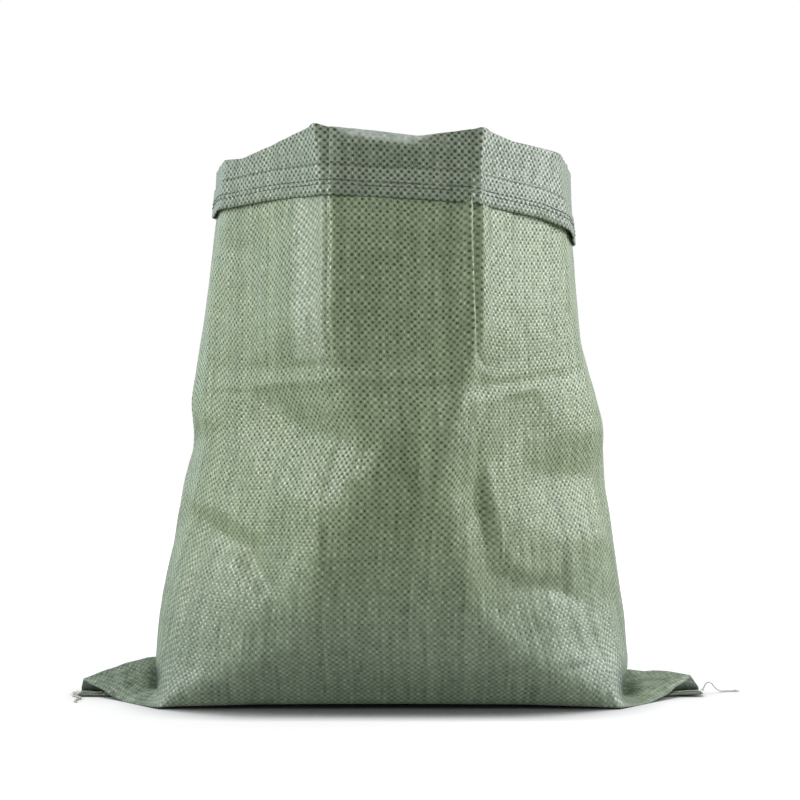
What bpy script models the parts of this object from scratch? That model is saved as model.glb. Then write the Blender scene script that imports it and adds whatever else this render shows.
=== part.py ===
"""A sack woven from flat plastic tape, standing open with its mouth turned down outside as a cuff.

The cloth is one seamless woven tube, so every level section has the same length round it, twice the width
of the sack pressed flat. Its foot is folded up once and sewn shut. Opened to a box, the foot leaves a
pointed ear at each side, and the sewn hem runs under the sack from one ear's tip to the other's.
X is across the front, -Y is towards the front, +Z is up, and the floor is z = 0. Sizes are in metres.
"""

import math

import bmesh
import bpy
import numpy as np

# The cloth, pressed flat
FLAT_WIDTH = 0.500
HALF_WIDTH = FLAT_WIDTH / 2
WALL = 0.002
FLOOR = 0.003

# The sack as it stands
BASE_HALF_DEPTH = 0.075
# The height of the rim, at places round the front in metres of cloth from the left edge. The back is the same
RIM_PLACES = (0.000, 0.060, 0.100, 0.140, 0.190, 0.265, 0.310, 0.345, 0.400, 0.450, 0.500)
RIM_HEIGHTS = (0.4225, 0.4190, 0.4145, 0.4185, 0.4245, 0.4160, 0.4215, 0.4180, 0.4190, 0.4210, 0.4215)

# The cuff, and the height of its lower edge at places round the front
CUFF_GAP = 0.0012
CUFF_PLACES = (0.000, 0.080, 0.140, 0.200, 0.250, 0.315, 0.385, 0.420, 0.500)
CUFF_HEIGHTS = (0.3850, 0.3800, 0.3790, 0.3750, 0.3725, 0.3685, 0.3680, 0.3640, 0.3630)
HEM_FOLD = 0.022
HEM_RIDGE = 0.0006

# The ears and the sewn hem of the foot
HEM_WIDTH = 0.020
HEM_THICK = 0.002
HEM_END_INSET = 0.0005
HEM_END_STEP = 0.0002
EAR_EDGE = 0.003
EAR_TIP_EDGE = 0.0115
EAR_LIP = 0.0022
EAR_RIDGE = 0.006
EAR_OPEN_FROM = 0.205
EAR_MEETS_WALL = 0.017

# The threads
SEAM_THREAD_RADIUS = 0.0006
SEAM_THREAD_Y = -0.0085
SEAM_THREAD_SHOWS_FROM = 0.220
THREAD_CLEARANCE = 0.0003
MOUTH_THREAD_RADIUS = 0.0004
MOUTH_THREAD_CLEARANCE = 0.0009
MOUTH_ROWS = {"mouth_hem_thread_lower": 0.0075, "mouth_hem_thread_upper": 0.0105}

# The level sections, at each of these heights. A section has a flat front panel between two creases, a
# slanted panel beside each crease, and a side panel that comes back to the middle of the side.
HEIGHTS = (0.000, 0.017, 0.032, 0.048, 0.079, 0.125, 0.170, 0.210, 0.235, 0.280, 0.350, 0.385, 0.430)
# How far the sack reaches to the left and to the right
LEFT = (0.177, 0.184, 0.186, 0.186, 0.183, 0.1745, 0.166, 0.157, 0.1605, 0.1535, 0.145, 0.1405, 0.1385)
RIGHT = (0.177, 0.187, 0.190, 0.190, 0.186, 0.180, 0.1735, 0.1715, 0.166, 0.155, 0.148, 0.1455, 0.1445)
# Where the creases beside the front panel are
LEFT_CREASE = (0.174, 0.148, 0.118, 0.090, 0.078, 0.064, 0.060, 0.055, 0.051, 0.046, 0.0435, 0.047, 0.0525)
RIGHT_CREASE = (0.174, 0.148, 0.118, 0.088, 0.072, 0.069, 0.066, 0.064, 0.063, 0.064, 0.064, 0.065, 0.0685)
# How far the slanted panels turn back, and how far the side panels lean, in degrees
LEFT_SLANT = (45, 38, 35, 34, 38, 41, 43, 44, 46, 49, 50, 50, 50)
RIGHT_SLANT = (45, 38, 36, 36, 39, 42, 45, 47, 48, 50, 51, 50, 50)
LEAN = (0, 0, 0, 0, 0, 1, 3, 5, 7, 9, 11, 12, 12)
# The length of cloth over which each crease turns
LEFT_BEND = (0.003, 0.040, 0.060, 0.070, 0.080, 0.080, 0.080, 0.060, 0.045, 0.030, 0.012, 0.010, 0.009)
RIGHT_BEND = (0.003, 0.040, 0.050, 0.045, 0.035, 0.030, 0.025, 0.020, 0.018, 0.014, 0.012, 0.010, 0.009)
SIDE_BEND = (0.004, 0.060, 0.090, 0.100, 0.100, 0.098, 0.088, 0.070, 0.060, 0.045, 0.030, 0.024, 0.020)
# The cloth in each half that small folds take up
IN_FOLDS = (0, 0, 0, 0, 0.001, 0.003, 0.004, 0.005, 0.006, 0.007, 0.008, 0.008, 0.008)

# How finely the solids are cut
COLUMNS = 80
FINE = 501
GRID_STEP = 0.010
WALL_HEIGHTS = (0.030, 0.048, 0.070, 0.095, 0.130, 0.170, 0.205, 0.235, 0.270, 0.310, 0.345)
LINING_HEIGHTS = (0.340, 0.290, 0.235, 0.190, 0.140, 0.095, 0.055, 0.028, 0.012)
THREAD_SIDES = 6
CUT_PAST = 0.010

GREEN = (0.19, 0.25, 0.17, 1)
CREAM = (0.62, 0.58, 0.50, 1)


def clear_scene():
    for thing in list(bpy.data.objects):
        bpy.data.objects.remove(thing)


def at_height(values, height):
    """One column of the table of sections, read smoothly at a height."""
    return float(np.interp(height, HEIGHTS, values))


def turned(along, middle, length):
    """How much of a turn is done at each place along the cloth: smooth from 0 to 1 round its middle."""
    share = np.clip((along - middle) / length + 0.5, 0, 1)
    return share * share * (3 - 2 * share)


def front_half(height, bends):
    """The front half of a section, drawn from the left edge by the way the cloth heads at each place.

    It heads back to front along the left side, turns at each of the four bends, and ends heading front to
    back along the right side. The bends are given as places along the cloth.
    """
    along = np.linspace(0, HALF_WIDTH * 2 - at_height(IN_FOLDS, height), FINE)
    side = 90 - at_height(LEAN, height)
    left, right = at_height(LEFT_SLANT, height), at_height(RIGHT_SLANT, height)
    side_bend = at_height(SIDE_BEND, height)
    heading = -side
    heading = heading + (side - left) * turned(along, bends[0], side_bend)
    heading = heading + left * turned(along, bends[1], at_height(LEFT_BEND, height))
    heading = heading + right * turned(along, bends[2], at_height(RIGHT_BEND, height))
    heading = heading + (side - right) * turned(along, bends[3], side_bend)
    heading = np.radians(heading)
    step = np.stack([np.cos(heading), np.sin(heading)], axis=1) * along[1]
    middle = (step[1:] + step[:-1]) / 2
    start = np.array([[-at_height(LEFT, height), 0]])
    return along, np.concatenate([start, start + np.cumsum(middle, axis=0)])


def misses(height, bends):
    """How far the drawn half misses the two creases and the right edge."""
    along, line = front_half(height, bends)
    return np.array(
        [
            np.interp(bends[1], along, line[:, 0]) + at_height(LEFT_CREASE, height),
            np.interp(bends[2], along, line[:, 0]) - at_height(RIGHT_CREASE, height),
            line[-1, 0] - at_height(RIGHT, height),
            line[-1, 1],
        ]
    )


def find_bends(height, bends):
    """The places of the four bends that make the half close, by Newton's method from a first guess."""
    nudge = 0.0001
    for _ in range(30):
        miss = misses(height, bends)
        if np.abs(miss).max() < 1e-7:
            break
        slopes = np.zeros((4, 4))
        for i in range(4):
            nudged = bends.copy()
            nudged[i] += nudge
            slopes[:, i] = (misses(height, nudged) - miss) / nudge
        change = np.linalg.lstsq(slopes, -miss, rcond=1e-6)[0]
        bends = bends + np.clip(change, -0.03, 0.03)
    return bends


def all_sections():
    """The middle of the cloth at each step of height: COLUMNS points the same length of cloth apart.

    The first is at the left edge, and they run round the front, the right edge and the back, which is
    like the front. Every section is as long as the cloth, less what is in folds, because a woven tube
    can't stretch. That is what sets how deep the sack is at each height.
    """
    bends = np.array([0.050, 0.090, 0.410, 0.450])
    sections = []
    for height in GRID:
        bends = find_bends(height, bends)
        along, line = front_half(height, bends)
        wanted = np.linspace(0, along[-1], COLUMNS // 2 + 1)
        front = np.stack([np.interp(wanted, along, line[:, axis]) for axis in (0, 1)], axis=1)
        back = front[1:-1][::-1] * np.array([1, -1])
        sections.append(np.concatenate([front, back]))
    return np.array(sections)


GRID = np.arange(0, HEIGHTS[-1] + GRID_STEP / 2, GRID_STEP)
SECTIONS = all_sections()


def outward(ring):
    """The level direction that points out of the cloth at each column."""
    along = np.roll(ring, -1, axis=0) - np.roll(ring, 1, axis=0)
    normal = np.stack([along[:, 1], -along[:, 0]], axis=1)
    return normal / np.linalg.norm(normal, axis=1)[:, None]


def cloth_ring(heights, offset=0.0):
    """A ring of points on the cloth, at one height or one for each column, moved out by an offset."""
    heights = np.broadcast_to(np.asarray(heights, float), COLUMNS)
    place = heights / GRID_STEP
    below = np.clip(np.floor(place).astype(int), 0, len(GRID) - 2)
    share = (place - below)[:, None]
    column = np.arange(COLUMNS)
    ring = SECTIONS[below, column] * (1 - share) + SECTIONS[below + 1, column] * share
    ring = ring + outward(ring) * np.broadcast_to(np.asarray(offset, float), COLUMNS)[:, None]
    return np.column_stack([ring, heights])


def along_round():
    """How much cloth lies between the left edge and each column, round the front and then the back."""
    return np.arange(COLUMNS) * 2 * FLAT_WIDTH / COLUMNS


def from_left():
    """How much cloth lies between the left edge and each column, by the nearer way round."""
    return np.minimum(along_round(), 2 * FLAT_WIDTH - along_round())


def from_tip():
    """How much cloth lies between each column and the nearer edge of the flat sack."""
    return np.minimum(from_left(), FLAT_WIDTH - from_left())


def foot_outline():
    """The outline of the foot on the floor: a box with a pointed ear at each side."""
    y = np.minimum(from_tip(), BASE_HALF_DEPTH)
    y = np.where(along_round() <= FLAT_WIDTH, -y, y)
    return np.column_stack([from_left() - HALF_WIDTH, y])


def rim_heights():
    return np.interp(from_left(), RIM_PLACES, RIM_HEIGHTS)


def cuff_heights():
    return np.interp(from_left(), CUFF_PLACES, CUFF_HEIGHTS)


def foot_rings():
    """The outside of the foot, from the floor up to where the ears meet the wall."""
    outline = foot_outline()
    to_tip = np.clip((np.abs(outline[:, 0]) - EAR_OPEN_FROM) / (HALF_WIDTH - EAR_OPEN_FROM), 0, 1)
    edge = EAR_EDGE + (EAR_TIP_EDGE - EAR_EDGE) * to_tip
    wall = cloth_ring(EAR_MEETS_WALL, WALL / 2)
    on_ear = np.clip(1 - from_tip() / BASE_HALF_DEPTH, 0, 1)
    middle = (outline + wall[:, :2]) / 2
    rise = (edge + EAR_MEETS_WALL) / 2 + EAR_RIDGE * on_ear * (1 - to_tip)
    wall[:, 2] += EAR_RIDGE * on_ear
    return [
        np.column_stack([outline, np.zeros(COLUMNS)]),
        np.column_stack([outline, edge]),
        np.column_stack([middle, rise]),
        wall,
    ]


def cuff_rings():
    """Up out of the groove between sack and cuff, round the cuff's lower edge and over the rim."""
    rim, hem, middle = rim_heights(), cuff_heights(), WALL + CUFF_GAP
    under, outside = middle - WALL / 2, middle + WALL / 2
    groove_top = rim - WALL - CUFF_GAP / 2
    shoulder = rim - WALL
    return [
        cloth_ring(groove_top, WALL / 2),
        cloth_ring(groove_top, under),
        cloth_ring(hem, under),
        cloth_ring(hem, outside + HEM_RIDGE),
        cloth_ring(hem + HEM_FOLD, outside + HEM_RIDGE),
        cloth_ring(hem + HEM_FOLD + HEM_RIDGE, outside),
        cloth_ring(shoulder, outside),
        cloth_ring(rim, middle / 2 + WALL / 2),
        cloth_ring(rim, middle / 2 - WALL / 2),
        cloth_ring(shoulder, -WALL / 2),
    ]


def lining_rings():
    """The inside of the sack, from under the rim down to the floor of the cavity."""
    walls = [cloth_ring(height, -WALL / 2) for height in LINING_HEIGHTS]
    return [*walls, cloth_ring(FLOOR, -WALL)]


def mesh_object(name, rings, closed_round=False):
    """One closed mesh from rings of points: skinned from each to the next, and capped or joined up."""
    mesh = bmesh.new()
    rows = [[mesh.verts.new(point) for point in ring] for ring in rings]
    count = len(rows[0])
    pairs = list(zip(rows, rows[1:]))
    if closed_round:
        pairs.append((rows[-1], rows[0]))
    for lower, upper in pairs:
        for i in range(count):
            after = (i + 1) % count
            mesh.faces.new((lower[i], lower[after], upper[after], upper[i]))
    if not closed_round:
        mesh.faces.new(rows[0][::-1])
        mesh.faces.new(rows[-1])
    bmesh.ops.recalc_face_normals(mesh, faces=mesh.faces)
    data = bpy.data.meshes.new(name)
    mesh.to_mesh(data)
    mesh.free()
    made = bpy.data.objects.new(name, data)
    bpy.context.scene.collection.objects.link(made)
    return made


def finish(thing, colour, roughness):
    """Gives a piece its colour and smooth shading with its creases kept."""
    material = bpy.data.materials.new(thing.name + "_finish")
    material.use_nodes = True
    shader = material.node_tree.nodes["Principled BSDF"]
    shader.inputs["Base Color"].default_value = colour
    shader.inputs["Roughness"].default_value = roughness
    shader.inputs["Metallic"].default_value = 0
    thing.data.materials.append(material)
    if thing.type == "MESH":
        thing.data.shade_smooth()
        thing.data.set_sharp_from_angle(angle=math.radians(35))


def prism(name, corners, near, far):
    """A hidden prism to cut with or to add: an outline of (x, z) corners, drawn along Y from near to far."""
    made = mesh_object(name, [[(x, y, z) for x, z in corners] for y in (near, far)])
    made.hide_render = True
    made.display_type = "WIRE"
    return made


def combine(thing, tool, operation):
    """Takes a hidden shape out of a piece, or adds it."""
    step = thing.modifiers.new(tool.name, "BOOLEAN")
    step.operation = operation
    step.solver = "EXACT"
    step.object = tool


def rectangle(half_length, bottom, top):
    return [(-half_length, bottom), (half_length, bottom), (half_length, top), (-half_length, top)]


def add_hem_ends(sack):
    """The ends of the sewn hem, which stay square where the ears come to a point."""
    corners = rectangle(HALF_WIDTH - HEM_END_INSET, 0, HEM_THICK - HEM_END_STEP)
    combine(sack, prism("hem_strip", corners, -HEM_WIDTH, 0), "UNION")


def cut_ear_mouths(sack):
    """Opens each ear's tip like a beak: the sewn hem lies on the floor under the lifted upper layer."""
    beyond = HALF_WIDTH + CUT_PAST
    slope = (EAR_TIP_EDGE - EAR_LIP - HEM_THICK) / (HALF_WIDTH - EAR_OPEN_FROM)
    top = HEM_THICK + slope * (beyond - EAR_OPEN_FROM)
    for side, name in ((-1, "left_beak"), (1, "right_beak")):
        corners = [(side * x, z) for x, z in ((EAR_OPEN_FROM, HEM_THICK), (beyond, HEM_THICK), (beyond, top))]
        combine(sack, prism(name, corners, -BASE_HALF_DEPTH, HEM_THICK), "DIFFERENCE")


def cut_seam_groove(sack):
    """The channel that the sewing thread pulls into the underside of the hem."""
    half = SEAM_THREAD_RADIUS + THREAD_CLEARANCE
    corners = rectangle(HALF_WIDTH + CUT_PAST, -half, 2 * half)
    combine(sack, prism("seam_groove", corners, SEAM_THREAD_Y - half, SEAM_THREAD_Y + half), "DIFFERENCE")


def make_sack():
    walls = [cloth_ring(height, WALL / 2) for height in WALL_HEIGHTS]
    sack = mesh_object("woven_sack", foot_rings() + walls + cuff_rings() + lining_rings())
    add_hem_ends(sack)
    cut_ear_mouths(sack)
    cut_seam_groove(sack)
    finish(sack, GREEN, 0.45)


def tube(name, points, radius):
    """A straight or curved thread as a curve with a round section and closed ends."""
    data = bpy.data.curves.new(name, "CURVE")
    data.dimensions = "3D"
    data.bevel_depth = radius
    data.bevel_resolution = 2
    data.use_fill_caps = True
    line = data.splines.new("POLY")
    line.points.add(len(points) - 1)
    for target, point in zip(line.points, points):
        target.co = (*point, 1)
    made = bpy.data.objects.new(name, data)
    bpy.context.scene.collection.objects.link(made)
    return made


def make_seam_thread():
    """The thread that sews the foot shut: it runs under the hem, and shows on top of it in the ears."""
    under = SEAM_THREAD_RADIUS + THREAD_CLEARANCE
    over = HEM_THICK + under
    inner, end = SEAM_THREAD_SHOWS_FROM, HALF_WIDTH + under
    right_half = [(0, under), (end - under / 2, under), (end, 2 * under), (end - under / 2, over), (inner, over)]
    left_half = [(-x, z) for x, z in right_half[:0:-1]]
    route = [(x, SEAM_THREAD_Y, z) for x, z in left_half + right_half]
    finish(tube("bottom_seam_thread", route, SEAM_THREAD_RADIUS), CREAM, 0.8)


def length_along(points):
    """How far along a line of points each point is."""
    steps = np.linalg.norm(np.diff(points, axis=0), axis=1)
    return np.concatenate([[0], np.cumsum(steps)])


def smooth_route(points, spacing):
    """Points a set way apart on a smooth curve through the route's own points."""
    points = [np.array(point, float) for point in points]
    padded = [2 * points[0] - points[1], *points, 2 * points[-1] - points[-2]]
    fine = []
    for before, start, end, after in zip(padded, padded[1:], padded[2:], padded[3:]):
        for t in np.linspace(0, 1, 24, endpoint=False):
            fine.append(
                0.5
                * (
                    2 * start
                    + (end - before) * t
                    + (2 * before - 5 * start + 4 * end - after) * t**2
                    + (3 * start - before - 3 * end + after) * t**3
                )
            )
    fine = np.array([*fine, points[-1]])
    along = length_along(fine)
    wanted = np.linspace(0, along[-1], max(2, round(along[-1] / spacing)) + 1)
    return [tuple(np.interp(at, along, fine[:, axis]) for axis in range(3)) for at in wanted]


# Where the loose ends of the seam thread lie, from the hem's end out over the floor
TAIL_ROUTES = {
    "seam_thread_tail_left": (
        (-0.2523, -0.0087, 0.0020),
        (-0.2532, -0.0105, 0.0014),
        (-0.2536, -0.0145, 0.0009),
        (-0.2520, -0.0190, 0.0009),
        (-0.2488, -0.0225, 0.0009),
        (-0.2455, -0.0265, 0.0009),
        (-0.2445, -0.0315, 0.0009),
        (-0.2460, -0.0365, 0.0009),
        (-0.2465, -0.0415, 0.0009),
        (-0.2440, -0.0460, 0.0009),
    ),
    "seam_thread_tail_right": (
        (0.2518, -0.0085, 0.0030),
        (0.2530, -0.0072, 0.0057),
        (0.2548, -0.0058, 0.0082),
        (0.2572, -0.0047, 0.0093),
        (0.2598, -0.0038, 0.0083),
        (0.2620, -0.0028, 0.0058),
        (0.2652, -0.0010, 0.0028),
        (0.2690, 0.0017, 0.0012),
        (0.2732, 0.0037, 0.0009),
        (0.2775, 0.0037, 0.0009),
        (0.2820, 0.0045, 0.0009),
    ),
}


def make_tails():
    for name, route in TAIL_ROUTES.items():
        points = smooth_route(route, 3 * SEAM_THREAD_RADIUS)
        finish(tube(name, points, SEAM_THREAD_RADIUS), CREAM, 0.8)


def make_mouth_threads():
    """The two rows of stitching that hold the hem of the mouth, as rings that lie on the cuff's face."""
    hem = cuff_heights()
    face = WALL + CUFF_GAP + WALL / 2 + HEM_RIDGE
    low, high = cloth_ring(hem, face), cloth_ring(hem + HEM_FOLD, face)
    for name, above in MOUTH_ROWS.items():
        middle = low + (high - low) * above / HEM_FOLD
        normal = np.column_stack([outward(middle[:, :2]), np.zeros(COLUMNS)])
        middle = middle + normal * (MOUTH_THREAD_CLEARANCE + MOUTH_THREAD_RADIUS)
        rings = []
        for i in range(THREAD_SIDES):
            turn = 2 * math.pi * i / THREAD_SIDES
            up = np.array([0, 0, MOUTH_THREAD_RADIUS * math.sin(turn)])
            rings.append(middle + normal * MOUTH_THREAD_RADIUS * math.cos(turn) + up)
        finish(mesh_object(name, rings, closed_round=True), GREEN, 0.5)


clear_scene()
make_sack()
make_seam_thread()
make_tails()
make_mouth_threads()
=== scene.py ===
"""The looks of the woven sack: its cloth with every fold, the weave, the sewing and the studio round it.

The cloth is one flat grid, as it came off the loom and was cut, sewn into a tube. Its columns follow the
upright tapes and its rows the level ones. It is folded up at the foot, stood open, and turned down at the
mouth. X is across the front, -Y is towards the camera, +Z is up. Sizes are in metres, angles in degrees.
"""

import math

import bpy
import numpy as np
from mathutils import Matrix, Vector, noise
from mathutils.geometry import delaunay_2d_cdt


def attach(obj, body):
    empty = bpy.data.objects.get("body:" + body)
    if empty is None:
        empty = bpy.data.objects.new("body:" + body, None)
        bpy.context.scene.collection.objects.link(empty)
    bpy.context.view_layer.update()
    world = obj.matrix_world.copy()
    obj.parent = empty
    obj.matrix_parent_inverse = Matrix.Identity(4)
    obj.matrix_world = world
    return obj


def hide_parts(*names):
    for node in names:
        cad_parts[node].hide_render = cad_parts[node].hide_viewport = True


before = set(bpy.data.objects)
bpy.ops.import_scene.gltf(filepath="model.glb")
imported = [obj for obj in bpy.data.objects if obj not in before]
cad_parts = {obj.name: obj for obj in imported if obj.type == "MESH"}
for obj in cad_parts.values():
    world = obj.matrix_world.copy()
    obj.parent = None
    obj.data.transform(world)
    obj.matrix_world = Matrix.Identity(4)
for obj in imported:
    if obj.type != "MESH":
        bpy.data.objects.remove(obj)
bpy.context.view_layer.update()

# The cloth, pressed flat
FLAT_WIDTH = 0.500
HALF_WIDTH = FLAT_WIDTH / 2
CLOTH = 0.0005
TAPE = 0.0025

# The sack as it stands
BASE_HALF_DEPTH = 0.075
WALL_FROM = 0.034
WALL_SETTLES = 0.02

# The height of the rim, at places round the front in metres of cloth from its left edge. The back is alike
RIM_PLACES = (0.000, 0.060, 0.100, 0.140, 0.185, 0.1915, 0.198, 0.230, 0.265, 0.305, 0.311, 0.318, 0.345,
              0.400, 0.450, 0.500)
RIM_HEIGHTS = (0.4225, 0.4190, 0.4145, 0.4185, 0.4236, 0.4258, 0.4232, 0.4205, 0.4160, 0.4208, 0.4224,
               0.4205, 0.4180, 0.4190, 0.4210, 0.4215)
# How thick the rolled rim is: it rolls softly between the two creases of the front
ROLL_PLACES = (0.000, 0.197, 0.214, 0.238, 0.262, 0.285, 0.303, 0.500)
ROLL_WIDTHS = (0.0016, 0.0014, 0.0070, 0.0105, 0.0110, 0.0060, 0.0014, 0.0016)
# The part of a thick roll by which the wall leans in to meet it, and how fast that fades below the rim
LEAN_IN = 0.55
LEAN_REACH = 0.013

# The cuff: the height of its lower edge, and how far that edge stands off the sack
CUFF_PLACES = (0.000, 0.080, 0.140, 0.200, 0.250, 0.315, 0.385, 0.420, 0.500)
CUFF_HEIGHTS = (0.3850, 0.3800, 0.3790, 0.3750, 0.3725, 0.3685, 0.3680, 0.3640, 0.3630)
GAP_PLACES = (0.000, 0.040, 0.085, 0.130, 0.180, 0.315, 0.360, 0.410, 0.445, 0.475, 0.500)
GAP_WIDTHS = (0.0024, 0.0030, 0.0046, 0.0026, 0.0012, 0.0010, 0.0022, 0.0034, 0.0046, 0.0030, 0.0024)
TIGHT = 0.0010
ROLL_FADES = 0.30
HEM_FOLD = 0.022
HEM_TURN = 0.0006
CUFF_TURN = 0.0010
LAYER = 0.0009
# The cuff's upright creases: places round the front and how far out, in millimetres
CUFF_CREASES = {
    60: 0, 72: 0.9, 82: -0.4, 100: 0, 140: 0.3, 165: 0, 186: 0.2, 190.5: 1.2, 196.6: 0.4, 201.1: -1.2,
    204.3: 0.2, 210.6: 0.6, 214.9: -0.5, 219.1: 0.6, 224.7: -0.4, 236: 0, 290: 0, 301: 0.6, 304.9: -0.6,
    308.8: 1.2, 314.7: 0, 330: 0.3, 345: 0, 411: 0, 423: 0.8, 432: -0.3, 450: 0,
}

# The foot's hem, a strip folded under the front half of the bottom
FOOT_HEM = 0.020
STRIP_HEIGHT = 0.0014
STRIP_FROM = 0.032
STRIP_STEP = 0.012
RIGHT_STRIP_LIFT = 0.0012
RIGHT_STRIP_FROM = 0.215
RIGHT_STRIP_REACH = 0.035
LAID = 0.0004
# The wall takes over from the foot at this height, and this much higher at the tip of each ear
CORNER_TOP = 0.004
CORNER_TOP_RISES = 0.020
# The front edge of the bottom bows up off the floor between the two corners
BOW_PLACES = (0.000, 0.060, 0.085, 0.150, 0.250, 0.350, 0.415, 0.440, 0.500)
BOW_HEIGHTS = (0.0, 0.0, 0.0022, 0.0038, 0.0042, 0.0038, 0.0016, 0.0, 0.0)

# The ears. For each: its side, where its front edge leaves the floor and how high it is at the tip, the
# height of its ridge at distances from the middle of the sack, the hollow where the wall's corner stands
# over it (across, its reach, in from the edge, its reach), the painted shade in that hollow (across, up,
# and its reach both ways), what sets its wrinkles, and how much its open end leans inwards as it rises
LEFT_EAR = {
    "side": -1.0,
    "lifts_from": 0.207,
    "tip_lift": 0.0092,
    "ridge": ((0.170, 0.187, 0.205, 0.2215, 0.234, 0.250), (0.0285, 0.0277, 0.0249, 0.0200, 0.0168, 0.0094)),
    "hollow": (0.1830, 0.0050, 0.030, 0.018),
    "hollow_shade": (-0.1805, 0.0205, 0.0050, 0.0080),
    "wrinkles": (1.0, 3.0),
    "end_lean": 0.22,
}
RIGHT_EAR = {
    "side": 1.0,
    "lifts_from": 0.200,
    "tip_lift": 0.0120,
    "ridge": ((0.170, 0.191, 0.211, 0.235, 0.244, 0.250), (0.0178, 0.0172, 0.0156, 0.0160, 0.0140, 0.0120)),
    "hollow": (0.1850, 0.0070, 0.032, 0.022),
    "hollow_shade": (0.1810, 0.0165, 0.0055, 0.0110),
    "wrinkles": (2.4, 8.0),
    "end_lean": 0.70,
}
HOLLOW_DEPTH = 0.0120
FAN_HEIGHT = 0.0009
CRUMPLE_HEIGHT = 0.0022
EDGE_LIFTS_FROM = 0.200
END_FROM = 0.195
END_REACH = 0.055
END_RISES_FROM = 0.0045

# The level sections of the cloth at each of these heights: where its edges and its two creases are, how
# steeply its sides slant back from the creases, how far its edges lean, how softly it bends, and how much
# of its width goes into small folds
SECTION_HEIGHTS = (0.000, 0.017, 0.032, 0.048, 0.079, 0.125, 0.170, 0.210, 0.235, 0.280, 0.350, 0.385, 0.430)
SECTION_VALUES = {
    "left": (0.177, 0.184, 0.186, 0.186, 0.183, 0.1745, 0.166, 0.157, 0.1605, 0.1535, 0.145, 0.1405, 0.1385),
    "right": (0.177, 0.187, 0.190, 0.190, 0.186, 0.180, 0.1735, 0.1715, 0.166, 0.155, 0.148, 0.1455, 0.1445),
    "left crease": (0.174, 0.148, 0.118, 0.090, 0.068, 0.040, 0.022, 0.018, 0.030, 0.0410, 0.0397, 0.0420,
                    0.0505),
    "right crease": (0.174, 0.148, 0.118, 0.088, 0.062, 0.047, 0.038, 0.043, 0.0500, 0.0580, 0.0570, 0.0580,
                     0.0675),
    "left slant": (45, 38, 35, 34, 38, 41, 43, 44, 46, 49, 50, 50, 50),
    "right slant": (45, 38, 36, 36, 39, 42, 45, 47, 48, 50, 51, 50, 50),
    "lean": (0, 0, 0, 0, 0, 1, 3, 5, 7, 9, 11, 12, 12),
    "left bend": (0.003, 0.040, 0.060, 0.070, 0.075, 0.065, 0.052, 0.045, 0.036, 0.020, 0.012, 0.010, 0.009),
    "right bend": (0.003, 0.040, 0.050, 0.045, 0.035, 0.030, 0.025, 0.020, 0.018, 0.014, 0.012, 0.01, 0.009),
    "side bend": (0.004, 0.060, 0.090, 0.100, 0.100, 0.098, 0.088, 0.070, 0.060, 0.045, 0.030, 0.024, 0.020),
    "in folds": (0, 0, 0, 0, 0.001, 0.003, 0.004, 0.005, 0.006, 0.007, 0.008, 0.008, 0.008),
}
# Where the four bends of a section are looked for first, in metres of cloth from the left edge
FIRST_BENDS = (0.050, 0.090, 0.410, 0.450)

# How finely the cloth is cut. The upright folds need more columns than the plain cloth beside them
COLUMNS = 308
SEWN_WITHIN = 0.00002
FINE = 1001
GRID_STEP = 0.005
# Each place is in metres of cloth round the whole sack from its left edge, with how far the columns are close
FINE_PLACES = ((0.0, 0.012), (0.197, 0.015), (0.305, 0.016), (0.500, 0.012), (0.694, 0.012), (0.803, 0.012))
FRONT_DENSITY = 1.40
BACK_DENSITY = 0.65
FLOOR_ROWS = 9
TURN_ROWS = 20
ROLL_ROWS = 7
CUFF_ROWS = 13
HEM_ROWS = 8
WALL_SHARES = np.concatenate([
    np.linspace(0.0, 0.50, 54, endpoint=False),
    np.linspace(0.50, 0.60, 18, endpoint=False),
    np.linspace(0.60, 1.0, 27),
])

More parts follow.
